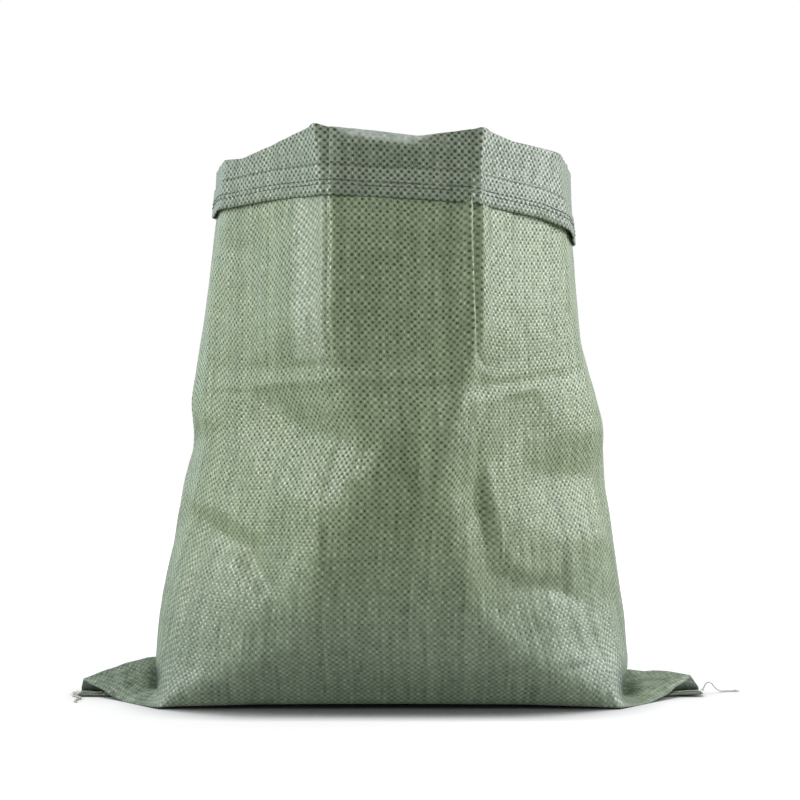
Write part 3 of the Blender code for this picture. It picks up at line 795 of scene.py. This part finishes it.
def make_tuft(name, place, spread):
    """Fine fibres that stand off the yarn where it frays: short bent threads, in one mesh."""
    points, faces = [], []
    for i in range(FIBRES):
        first = len(points)
        points.extend(one_fibre(i, place, spread))
        for base in (first, first + 3, first + 6):
            for corner in range(3):
                after = (corner + 1) % 3
                faces.append((base + corner, base + after, base + 3 + after, base + 3 + corner))
        faces.append((first + 9, first + 10, first + 11))
        faces.append((first + 2, first + 1, first))
    return dress(mesh_piece(name + "_fibres", points, faces), YARNS["cream_seam_yarn"])


def make_tails():
    for name, route in TAIL_ROUTES.items():
        centre = smooth_route(route, YARN / 8)
        centre[:, 2] = np.maximum(centre[:, 2], YARN / 2 + 0.0001)
        tail = two_ply_tube(name + "_yarn", centre, YARN / 2, 8)
        dress(tail, YARNS["cream_seam_yarn"])
        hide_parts(name)
        frayed_point, spread = FRAYED[name]
        tuft = make_tuft(name, route[frayed_point], spread)


make_tails()


# The level sections of the sack


GRID = np.arange(0, SECTION_HEIGHTS[-1] + GRID_STEP / 2, GRID_STEP)


def turned(along, middle, length):
    """How much of a turn is done at each place along the cloth: smooth from 0 to 1 round its middle."""
    return smooth_step((along - middle) / length + 0.5)


def front_half(t, bends):
    """The front half of a section, drawn from the left edge by the way the cloth heads at each place."""
    along = np.linspace(0, FLAT_WIDTH - t["in folds"], FINE)
    side, left, right = 90 - t["lean"], t["left slant"], t["right slant"]
    heading = -side
    heading = heading + (side - left) * turned(along, bends[0], t["side bend"])
    heading = heading + left * turned(along, bends[1], t["left bend"])
    heading = heading + right * turned(along, bends[2], t["right bend"])
    heading = heading + (side - right) * turned(along, bends[3], t["side bend"])
    heading = np.radians(heading)
    step = np.stack([np.cos(heading), np.sin(heading)], axis=1) * along[1]
    start = np.array([[-t["left"], 0]])
    return along, np.concatenate([start, start + np.cumsum((step[1:] + step[:-1]) / 2, axis=0)])


def misses(t, bends):
    """How far the drawn half misses the two creases and the right edge."""
    along, line = front_half(t, bends)
    left = np.interp(bends[1], along, line[:, 0]) + t["left crease"]
    right = np.interp(bends[2], along, line[:, 0]) - t["right crease"]
    return np.array([left, right, line[-1, 0] - t["right"], line[-1, 1]])


def find_bends(t, bends):
    """The places of the four bends that make the half close, by Newton's method from a first guess."""
    nudge = 0.0001
    for _ in range(30):
        miss = misses(t, bends)
        if np.abs(miss).max() < 1e-7:
            break
        slopes = np.zeros((4, 4))
        for i in range(4):
            nudged = bends.copy()
            nudged[i] += nudge
            slopes[:, i] = (misses(t, nudged) - miss) / nudge
        change = np.linalg.lstsq(slopes, -miss, rcond=1e-6)[0]
        bends = bends + np.clip(change, -0.03, 0.03)
    return bends


def column_places():
    """How far round the sack each column is: close together at the upright folds and in the front."""
    fine = np.linspace(0, 2 * FLAT_WIDTH, 4001)
    density = np.where(fine < FLAT_WIDTH, FRONT_DENSITY, BACK_DENSITY)
    for place, reach in FINE_PLACES:
        away = np.abs((fine - place + FLAT_WIDTH) % (2 * FLAT_WIDTH) - FLAT_WIDTH)
        density = density + 2.0 * np.exp(-((away / reach) ** 2))
    total = np.concatenate([[0], np.cumsum((density[1:] + density[:-1]) / 2)])
    at_right_edge = np.interp(FLAT_WIDTH, fine, total) / total[-1]
    in_front = round(COLUMNS * at_right_edge)
    front = np.linspace(0, at_right_edge, in_front, endpoint=False)
    back = np.linspace(at_right_edge, 1, COLUMNS - in_front, endpoint=False)
    return np.interp(np.concatenate([front, back]), total / total[-1], fine)


AROUND = column_places()
IN_FRONT = AROUND <= FLAT_WIDTH
FROM_LEFT = np.where(IN_FRONT, AROUND, 2 * FLAT_WIDTH - AROUND)
FROM_TIP = np.minimum(FROM_LEFT, FLAT_WIDTH - FROM_LEFT)
FLAT_X = FROM_LEFT - HALF_WIDTH
SIGN_Y = np.where(IN_FRONT, -1.0, 1.0)


def all_sections():
    """The middle of the cloth at each step of height, at every column."""
    table = {}
    for name, values in SECTION_VALUES.items():
        table[name] = soften(np.interp(GRID, SECTION_HEIGHTS, values), 4)
    bends = np.array(FIRST_BENDS)
    sections = []
    for i in range(len(GRID)):
        t = {name: float(values[i]) for name, values in table.items()}
        bends = find_bends(t, bends)
        along, line = front_half(t, bends)
        ring = read_line(FROM_LEFT * (along[-1] / FLAT_WIDTH), along, line)
        ring[:, 1] = np.where(IN_FRONT, ring[:, 1], -ring[:, 1])
        sections.append(ring)
    return np.array(sections)


SECTIONS = all_sections()


def on_wall(heights, out=0.0):
    """Points of the cloth at one height for each column, moved out of the sack by some way."""
    heights = np.broadcast_to(np.asarray(heights, float), COLUMNS)
    place = np.clip(heights / GRID_STEP, 0, len(GRID) - 1.001)
    below = np.floor(place).astype(int)
    share = (place - below)[:, None]
    column = np.arange(COLUMNS)
    ring = SECTIONS[below, column] * (1 - share) + SECTIONS[below + 1, column] * share
    side = np.roll(ring, -1, axis=0) - np.roll(ring, 1, axis=0)
    normal = np.stack([side[:, 1], -side[:, 0]], axis=1)
    normal /= np.linalg.norm(normal, axis=1)[:, None]
    ring = ring + normal * np.broadcast_to(np.asarray(out, float), COLUMNS)[:, None]
    return np.column_stack([ring, heights])


# The rim and the cuff


def around_sack(places, values, reach=0.006):
    """A value at every column from its values at some places round the front, with its corners rounded."""
    spread = np.linspace(-reach, reach, 9)[:, None]
    return np.interp(np.abs(FROM_LEFT + spread), places, values).mean(axis=0)


RIM = around_sack(RIM_PLACES, RIM_HEIGHTS, 0.003)
ROLL = around_sack(ROLL_PLACES, ROLL_WIDTHS)
TOP = RIM - ROLL / 2
CUFF_EDGE = around_sack(CUFF_PLACES, CUFF_HEIGHTS, 0.004)
EDGE_GAP = around_sack(GAP_PLACES, GAP_WIDTHS, 0.010)


def wall_lean(below):
    """How far the wall leans in at each column, some way below the rim, to meet the roll."""
    return -LEAN_IN * (ROLL - ROLL.min()) * np.exp(-np.maximum(below, 0) / LEAN_REACH)


def cuff_gap(share_down):
    """The room between the sack and its cuff, at a share of the way from the rim to the cuff's edge."""
    roll = (ROLL - TIGHT) * np.exp(-((share_down / ROLL_FADES) ** 2))
    return TIGHT + roll + (EDGE_GAP - TIGHT) * smooth_step(share_down * 1.1)


# The foot: the hem strip on the floor, the flat bottom, and an ear at each side


def ear_edge_lift():
    """How high the front edge of each ear is off the floor: it lifts towards the tip."""
    start = np.where(FLAT_X < 0, LEFT_EAR["lifts_from"], RIGHT_EAR["lifts_from"])
    top = np.where(FLAT_X < 0, LEFT_EAR["tip_lift"], RIGHT_EAR["tip_lift"])
    share = np.clip((np.abs(FLAT_X) - start) / (HALF_WIDTH - start), 0, 1)
    return top * share**1.25


LIFT = ear_edge_lift()
BOTTOM_BOW = around_sack(BOW_PLACES, BOW_HEIGHTS)


def ear_hollow(out, tip, ear):
    """The hollow where the wall's corner stands over the ear."""
    middle, reach, tip_middle, tip_reach = ear["hollow"]
    across = math.exp(-(((out - middle) / reach) ** 2))
    return HOLLOW_DEPTH * across * math.exp(-(((tip - tip_middle) / tip_reach) ** 2))


def ear_wrinkles(out, across, ear):
    """The small folds that fan out from an ear's tip over its upper layer."""
    fan_start, crumple_start = ear["wrinkles"]
    away = max(HALF_WIDTH - out, 0.0) / BASE_HALF_DEPTH
    fan = math.sin(9.0 * across + fan_start) * FAN_HEIGHT
    crumpled = noise.noise(Vector((out * 95, across * 2.2, crumple_start))) * CRUMPLE_HEIGHT
    return (fan + crumpled) * min(1.0, 3.0 * away) * (1 - across**4)


def floor_line(j, reach):
    """One column of cloth along the floor, from the foot's fold to the edge of the bottom or of its ear."""
    on_strip = STRIP_HEIGHT + 2 * LAID if SIGN_Y[j] < 0 else LAID
    points = []
    for share in np.linspace(0, 1, 20):
        y = reach * share
        rise = (on_strip - LAID) * float(smooth_step((STRIP_FROM - y) / STRIP_STEP))
        lifted = LIFT[j] * float(smooth_step((y + SEAM_Y) / max(reach + SEAM_Y, 0.002)))
        bow = BOTTOM_BOW[j] * share**2.5
        points.append((FLAT_X[j], SIGN_Y[j] * y, LAID + rise + max(lifted, LIFT[j] * share**2) + bow))
    return np.array(points)


def ear_line(j, reach):
    """One column of cloth in an ear: it turns back over itself at the ear's edge and runs in to the wall."""
    ear = LEFT_EAR if FLAT_X[j] < 0 else RIGHT_EAR
    ear_length = BASE_HALF_DEPTH - reach
    points = []
    if ear_length > 0.001:
        for share in np.linspace(0.08, 1.0, 18):
            out = abs(FLAT_X[j]) - ear_length * share
            across = min(reach / max(HALF_WIDTH - out, 0.001), 1.0)
            ridge = float(np.interp(out, *ear["ridge"]))
            edge_lift = float(np.interp(out, (EDGE_LIFTS_FROM, HALF_WIDTH), (0.0, ear["tip_lift"])))
            height = edge_lift + (ridge - edge_lift) * (1 - across**1.15)
            height += ear_wrinkles(out, across, ear) - ear_hollow(out, FROM_TIP[j], ear) * (SIGN_Y[j] < 0)
            points.append((ear["side"] * out, SIGN_Y[j] * reach, LAID * 3 + max(height, 0.0)))
    return np.array(points).reshape(-1, 3)


# How often a line from the foot to the wall is softened: the fold over an ear's tip stays sharp, and the
# corner beside it is a smooth swoop
FILLET = np.interp(FROM_TIP, (0.000, 0.030, 0.050, 0.075, 0.095, 0.250), (10, 14, 150, 200, 80, 60))


def foot_rows():
    """The rows of cloth from the foot's fold, over the floor and up to the plain wall."""
    wall_lines = np.stack([on_wall(height) for height in np.linspace(0.0, WALL_FROM, 18)])
    rows_floor = np.zeros((FLOOR_ROWS, COLUMNS, 3))
    rows_turn = np.zeros((TURN_ROWS, COLUMNS, 3))
    for j in range(COLUMNS):
        reach = min(FROM_TIP[j], BASE_HALF_DEPTH)
        on_floor = floor_line(j, reach)
        rows_floor[:, j] = resample(on_floor, FLOOR_ROWS)
        wall = wall_lines[:, j]
        wall = wall[wall[:, 2] >= CORNER_TOP + CORNER_TOP_RISES * max(0.0, 1 - reach / BASE_HALF_DEPTH)]
        line = np.concatenate([on_floor[-1:], ear_line(j, reach), wall])
        rows_turn[:, j] = resample(soften(resample(line, 60), int(FILLET[j])), TURN_ROWS)
    return rows_floor, rows_turn


def strip_lift(x):
    """How much higher the hem strip lies at the right end of the foot."""
    return RIGHT_STRIP_LIFT * smooth_step((x - RIGHT_STRIP_FROM) / RIGHT_STRIP_REACH)


def strip_rows():
    """The foot's hem, folded under the front half of the bottom: its raw edge faces the front."""
    rows = []
    for share in np.linspace(0, 1, 5)[:-1]:
        height = np.where(IN_FRONT, STRIP_HEIGHT + LAID, STRIP_HEIGHT) + strip_lift(FLAT_X)
        rows.append(np.column_stack([FLAT_X * 0.999, np.full(COLUMNS, -FOOT_HEM * (1 - share)), height]))
    return np.array(rows)


# The wall, with its folds


def all_folds():
    """Every fold of the front as a line of points, the upright ones at their heights too."""
    folds = dict(FACETED_FOLDS)
    for heights, uprights in ((UPRIGHT_HEIGHTS, UPRIGHT_FOLDS), (TALL_HEIGHTS, TALL_FOLDS)):
        for name, line in uprights.items():
            folds[name] = tuple((place, height, out) for (place, out), height in zip(line, heights))
    return folds


FOLDS = all_folds()


def facets(lines, around, height):
    """How far out the cloth stands, in metres, at each place: read from flat facets between the lines."""
    corners, edges = [], []
    for line in lines:
        first = len(corners)
        corners.extend(line)
        edges.extend((i, i + 1) for i in range(first, first + len(line) - 1))
    flat = [Vector((at, up)) for at, up, _ in corners]
    points, _, faces, origins, _, _ = delaunay_2d_cdt(flat, edges, [], 0, 0.001)
    outs = [np.mean([corners[i][2] for i in origin]) if origin else 0.0 for origin in origins]
    out = np.zeros(np.broadcast(around, height).shape)
    for face in faces:
        (ax, ay), (bx, by), (cx, cy) = (np.array(points[i]) / 1000 for i in face)
        size = (by - cy) * (ax - cx) + (cx - bx) * (ay - cy)
        share_a = ((by - cy) * (around - cx) + (cx - bx) * (height - cy)) / size
        share_b = ((cy - ay) * (around - cx) + (ax - cx) * (height - cy)) / size
        share_c = 1 - share_a - share_b
        inside = (share_a >= 0) & (share_b >= 0) & (share_c >= 0)
        level = share_a * outs[face[0]] + share_b * outs[face[1]] + share_c * outs[face[2]]
        out = np.where(inside, level, out)
    return out / 1000


def crumple(around, height):
    """Small random unevenness, the same on every run."""
    out = np.zeros(around.shape)
    for place in np.ndindex(around.shape):
        at, up = float(around[place]), float(height[place])
        for high, across, upwards, start in UNEVENNESS:
            out[place] += high * noise.noise(Vector((at * across, up * upwards, start)))
    return out


def fold_relief(heights):
    """How far each point of the wall stands out of its smooth section, for rows of heights."""
    front = facets(FOLDS.values(), FROM_LEFT[None, :] * np.ones_like(heights), heights)
    # Turned half round, so that what is at the left of the front is at the left of the back
    turned_place = (FLAT_WIDTH - FROM_LEFT)[None, :] * np.ones_like(heights)
    back = BACK_SHARE * facets([FOLDS[name] for name in BACK_FOLDS], turned_place, heights)
    relief = np.where(IN_FRONT[None, :], front, back)
    relief[1:-1] = (relief[:-2] + 6 * relief[1:-1] + relief[2:]) / 8
    relief = (np.roll(relief, 1, axis=1) + 4 * relief + np.roll(relief, -1, axis=1)) / 6
    calm = smooth_step((heights - WALL_FROM) / WALL_SETTLES)
    return relief + calm * crumple(AROUND[None, :] * np.ones_like(heights), heights)


def wall_rows():
    heights = WALL_FROM + (TOP - WALL_FROM)[None, :] * WALL_SHARES[1:-1, None]
    relief = fold_relief(heights)
    return np.array([on_wall(up, out + wall_lean(TOP - up)) for up, out in zip(heights, relief)])


def rim_relief():
    """How far the folds of the wall and the cuff's own creases stand out at the rim."""
    creases = np.interp(FROM_LEFT * 1000, list(CUFF_CREASES), list(CUFF_CREASES.values())) / 1000
    return fold_relief(RIM[None, :])[0] + creases


RIM_RELIEF = rim_relief()


def on_cuff(heights, out):
    """Points on the cuff at a height for each column, some way out of its inner layer."""
    share_down = np.clip((TOP - heights) / (TOP - CUFF_EDGE), 0, 1)
    return on_wall(heights, wall_lean(TOP - heights) + cuff_gap(share_down) + RIM_RELIEF + out)


def cuff_rows():
    """Over the rim, down the outside, round the cuff's lower edge, and up its hem, which lies outside."""
    rows = []
    for turn in np.linspace(0, math.pi, ROLL_ROWS):
        out = wall_lean(0) + ROLL / 2 * (1 - math.cos(turn)) + RIM_RELIEF
        rows.append(on_wall(RIM - ROLL / 2 * (1 - math.sin(turn)), out))
    for share in np.linspace(0, 1, CUFF_ROWS)[1:]:
        rows.append(on_cuff(TOP - (TOP - CUFF_EDGE - CUFF_TURN) * share, 0.0))
    rows.append(on_cuff(CUFF_EDGE, LAYER / 2))
    for share in np.linspace(0, 1, HEM_ROWS):
        rows.append(on_cuff(CUFF_EDGE + HEM_TURN + (HEM_FOLD - HEM_TURN) * share, LAYER))
    return np.array(rows)


# The whole cloth


def lean_ear_ends(points):
    """Lean the open end of each ear inwards, the higher the more."""
    x = points[..., 0]
    rise = np.maximum(points[..., 2] - END_RISES_FROM, 0.0)
    leaned = points.copy()
    for ear in (LEFT_EAR, RIGHT_EAR):
        near_end = smooth_step((ear["side"] * x - END_FROM) / END_REACH)
        leaned[..., 0] -= ear["side"] * ear["end_lean"] * rise * near_end
    return leaned


def painted_hollow_shade(points):
    """How much painted shade each point near an ear gets, from 0 to 1: it darkens the ear's hollow."""
    x, y, z = points[..., 0], points[..., 1], points[..., 2]
    hollow_shade = np.zeros(x.shape)
    for ear in (LEFT_EAR, RIGHT_EAR):
        middle_x, middle_z, reach_x, reach_z = ear["hollow_shade"]
        hollow_shade = hollow_shade + np.exp(-(((x - middle_x) / reach_x) ** 2) - ((z - middle_z) / reach_z) ** 2)
    return np.clip(hollow_shade, 0, 1) * (y < -0.012)


def closed(ring):
    """Values round the sack with the first one again at the end, where the tube is sewn."""
    return np.append(ring, ring[0])


def cloth_marks_and_paint(places, around, fold_row, rim_row):
    """Where the cloth is turned out, has a painted highlight, and has dirt and painted shade, 0 to 1 at each
    point.
    """
    marks_and_paint = {name: np.zeros(places.shape[:2]) for name in ("turned_out", "painted_highlight", "soil_and_painted_shade")}
    marks_and_paint["turned_out"][rim_row:] = 1.0
    below_rim = closed(RIM) - places[rim_row:, :, 2]
    pale_depth = closed(around_sack(PALE_PLACES, PALE_DEPTHS))
    # Painted highlight on the rolled rim, weaker at the back
    marks_and_paint["painted_highlight"][rim_row:] = HIGHLIGHT_PAINTED * smooth_step((pale_depth - below_rim) / PALE_EDGE)
    marks_and_paint["painted_highlight"][:, around > FLAT_WIDTH] *= HIGHLIGHT_PAINTED_BEHIND
    # A weaker painted highlight beside the left crease, above the crease from packing
    on_upper_wall = (np.arange(len(places))[:, None] < rim_row - 3) & (places[..., 2] > PACK_CREASE)
    beside_crease = smooth_step((around - PALE_CREASE_FROM) / 0.006)
    beside_crease = beside_crease * smooth_step((PALE_CREASE_TO - around) / 0.004)
    marks_and_paint["painted_highlight"] += on_upper_wall * beside_crease * HIGHLIGHT_PAINTED_BESIDE_CREASE
    # The underside on the floor is darkened: dirt from the ground, and painted shade where it lies in the
    # sack's shadow
    marks_and_paint["soil_and_painted_shade"][fold_row : fold_row + FLOOR_ROWS - 1] = 1.0
    in_turn = slice(fold_row + FLOOR_ROWS, fold_row + FLOOR_ROWS + TURN_ROWS + 6)
    # The ears' hollows get painted shade
    marks_and_paint["soil_and_painted_shade"][in_turn] = painted_hollow_shade(places[in_turn])
    return marks_and_paint


def cloth_lengths(places, fold_row):
    """How far along the cloth each point is from the foot's fold, with every column made equally long."""
    steps = np.linalg.norm(np.diff(places, axis=0), axis=2)
    along = np.concatenate([np.zeros((1, COLUMNS + 1)), np.cumsum(steps, axis=0)])
    along = along - along[fold_row]
    return along * (np.median(along[-1]) / along[-1])


def cloth_grid(places, around, along, marks_and_paint):
    """A flat grid put in place point by point, with its marks and painted light, and measured in metres of
    cloth.
    """
    deselect()
    # The grid's points run row by row, with one more column than the tube, which is sewn to the first
    bpy.ops.mesh.primitive_grid_add(x_subdivisions=COLUMNS, y_subdivisions=len(places) - 1, size=1)
    sack = bpy.context.object
    sack.name = "woven_sack_cloth"
    mesh = sack.data
    mesh.vertices.foreach_set("co", places.reshape(-1))
    vert_of_loop = np.empty(len(mesh.loops), int)
    mesh.loops.foreach_get("vertex_index", vert_of_loop)
    uv = np.stack([np.broadcast_to(around, along.shape), along], axis=2).reshape(-1, 2)[vert_of_loop]
    mesh.uv_layers[0].data.foreach_set("uv", uv.reshape(-1))
    for name, values in marks_and_paint.items():
        mesh.attributes.new(name, "FLOAT", "POINT").data.foreach_set("value", values.reshape(-1))
    mesh.update()
    return sack


def sew_and_thicken(sack):
    """The first and the last column become one, and the cloth gets its thickness."""
    bpy.context.view_layer.objects.active = sack
    sack.select_set(True)
    bpy.ops.object.mode_set(mode="EDIT")
    bpy.ops.mesh.select_all(action="SELECT")
    bpy.ops.mesh.remove_doubles(threshold=SEWN_WITHIN)
    bpy.ops.object.mode_set(mode="OBJECT")
    wall = sack.modifiers.new("cloth_thickness", "SOLIDIFY")
    wall.thickness = CLOTH
    wall.offset = 0
    bpy.ops.object.modifier_apply(modifier=wall.name)
    bpy.ops.object.shade_smooth()


def make_sack():
    """One flat grid of cloth, put in place row by row, sewn into a tube and given its thickness."""
    strip, (floor_part, turn_part) = strip_rows(), foot_rows()
    rows = np.concatenate([strip, floor_part, turn_part[1:], wall_rows(), cuff_rows()])
    fold_row = len(strip)
    rim_row = fold_row + FLOOR_ROWS + TURN_ROWS - 1 + len(WALL_SHARES) - 2 + ROLL_ROWS // 2
    around = np.append(AROUND, 2 * FLAT_WIDTH)
    places = lean_ear_ends(np.concatenate([rows, rows[:, :1]], axis=1))
    marks_and_paint = cloth_marks_and_paint(places, around, fold_row, rim_row)
    sack = cloth_grid(places, around, cloth_lengths(places, fold_row), marks_and_paint)
    sew_and_thicken(sack)
    dress(sack, woven_tape())
    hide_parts("woven_sack")


make_sack()


# The sewing


def one_stitch():
    """The corners and faces of one short length of yarn, pointed where it goes into the cloth."""
    deselect()
    bpy.ops.mesh.primitive_uv_sphere_add(segments=6, ring_count=8, radius=1, rotation=(0, math.pi / 2, 0))
    stitch = bpy.context.object
    bpy.ops.object.transform_apply(location=False, rotation=True, scale=False)
    corners = np.array([vertex.co[:] for vertex in stitch.data.vertices])
    faces = [tuple(face.vertices) for face in stitch.data.polygons]
    bpy.data.objects.remove(stitch)
    return corners, faces


def stitch_row(name, above_edge):
    """A row of machine stitches round the cuff, all alike but for where and how tight they lie."""
    corners, faces = one_stitch()
    surface = LAYER + CLOTH / 2
    ring = on_cuff(CUFF_EDGE + above_edge, surface)
    outer = on_cuff(CUFF_EDGE + above_edge, surface + 0.001)
    ring, outer = np.concatenate([ring, ring[:1]]), np.concatenate([outer, outer[:1]])
    outwards = (outer - ring) / 0.001
    along = length_along(ring)
    count = int(along[-1] / STITCH_STEP)
    points, all_faces = [], []
    for i in range(count):
        loose = noise.noise(Vector((i * 0.73, above_edge * 900, 2.0)))
        middle = (i + 0.5) * along[-1] / count + loose * LOOSE_SHIFT
        at = middle + corners[:, 0] * STITCH * (0.5 + 0.10 * loose)
        out = STITCH_YARN * (0.5 * corners[:, 1] + 0.25 - 0.45 * corners[:, 0] ** 4)
        place = read_line(at, along, ring) + read_line(at, along, outwards) * out[:, None]
        place[:, 2] += STITCH_YARN * 0.5 * corners[:, 2] + LOOSE_RISE * loose * corners[:, 0]
        first = len(points)
        points.extend(place)
        all_faces.extend(tuple(first + k for k in face) for face in faces)
    row = mesh_piece(name + "_stitches", points, all_faces)
    dress(row, YARNS["green_hem_yarn_and_shade"])
    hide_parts(name)


def make_seam_thread():
    """The thread that sews the foot shut: it shows on the hem inside each ear's open tip."""
    route = []
    for x in np.arange(-SEAM_END, SEAM_END + 0.00001, 0.0010):
        shows = float(smooth_step((abs(x) - SEAM_SHOWS_FROM + 0.004) / 0.004))
        on_hem = STRIP_HEIGHT + LAID + CLOTH / 2 + 0.0006 + float(strip_lift(x))
        wave = math.sin(math.pi * x / SEAM_STITCH)
        height = SEAM_HIDDEN_HEIGHT + (on_hem - SEAM_HIDDEN_HEIGHT + 0.0003 * abs(wave) ** 0.5) * shows
        forward = smooth_step((abs(x) - SEAM_FORWARD_FROM) / 0.006)
        forward = float(forward * smooth_step((SEAM_FORWARD_TO - abs(x)) / 0.004))
        route.append((x, SEAM_Y - SEAM_FORWARD * forward + 0.0004 * wave * shows, height))
    seam = two_ply_tube("bottom_seam_thread_yarn", route, YARN / 2, 4)
    dress(seam, YARNS["worn_seam_yarn"])
    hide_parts("bottom_seam_thread")


for row_name, row_above in STITCH_ROWS.items():
    stitch_row(row_name, row_above)
make_seam_thread()


# The studio


def make_floor():
    deselect()
    bpy.ops.mesh.primitive_plane_add(size=12, location=(0, 0, 0))
    floor = bpy.context.object
    floor.name = "studio_floor"
    floor.data.materials.append(pale_floor())


def make_softbox(name, place, aim, width, height, power, colour):
    heading = Vector(aim) - Vector(place)
    turn = heading.to_track_quat("-Z", "Y").to_euler()
    bpy.ops.object.light_add(type="AREA", location=place, rotation=turn)
    light = bpy.context.object
    light.name = name
    light.data.shape = "RECTANGLE"
    light.data.size = width
    light.data.size_y = height
    light.data.energy = power
    light.data.color = colour


def make_room():
    """Walls bright behind the sack, dimmer in front and coolest at the left, and a dark ceiling.

    The camera itself sees plain white.
    """
    world = bpy.data.worlds.new("studio_white")
    bpy.context.scene.world = world
    n = Nodes(world)
    room = n.tree.nodes["Background"]
    x, y, z = n.split(n.coordinates("Generated"))
    n.put(room.inputs["Color"], n.mix(n.steps(x, -0.95, -0.30, 0.0, 1.0), LEFT_LIGHT, ROOM_LIGHT))
    walls = n.steps(y, -0.1, 0.7, FRONT_WALL, BACK_WALL)
    n.put(room.inputs["Strength"], n.times(walls, n.steps(z, 0.15, 0.9, 1.0, CEILING)))
    white = n.add("ShaderNodeBackground", {"Color": (1, 1, 1, 1), "Strength": 1.0})
    mixed = n.add("ShaderNodeMixShader", {0: n.for_camera(), 1: room.outputs[0], 2: white.outputs[0]})
    n.link(mixed.outputs[0], n.tree.nodes["World Output"].inputs["Surface"])


make_floor()
for softbox_name, softbox in SOFTBOXES.items():
    make_softbox(softbox_name, *softbox)
make_room()
bpy.context.scene.view_settings.view_transform = "Standard"
bpy.context.scene.view_settings.look = "None"
